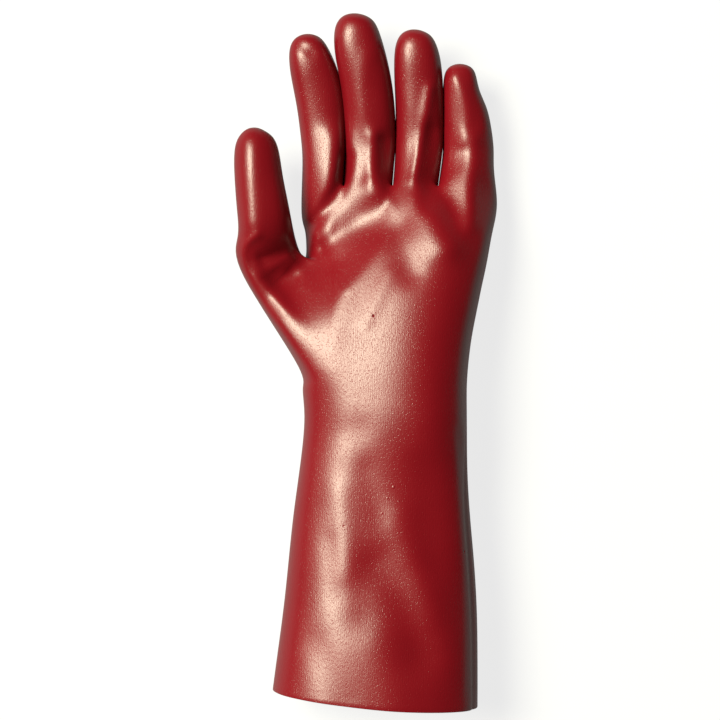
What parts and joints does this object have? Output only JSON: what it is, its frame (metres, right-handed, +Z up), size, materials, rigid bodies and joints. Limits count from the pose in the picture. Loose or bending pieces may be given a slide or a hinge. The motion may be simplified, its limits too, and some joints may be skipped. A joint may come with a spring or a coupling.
{
  "type": "pvc coated work glove",
  "caption": "Long left-hand work glove with a smooth glossy PVC coat, five free fingers, a flared open gauntlet cuff and soft folds in the palm.",
  "frame": {"origin": "middle of the glove's footprint, on the surface that it lies on", "axes": "+X across the hand towards the little finger, +Y from the cuff to the fingertips, +Z up out of the palm"},
  "size_m": [0.1332, 0.3498, 0.0636],
  "materials": {
    "pvc_coat": "glossy dipped PVC over a knitted backing, deep red"
  },
  "bodies": {
    "root": {"glove_skin": "pvc_coat"}
  },
  "joints": []
}
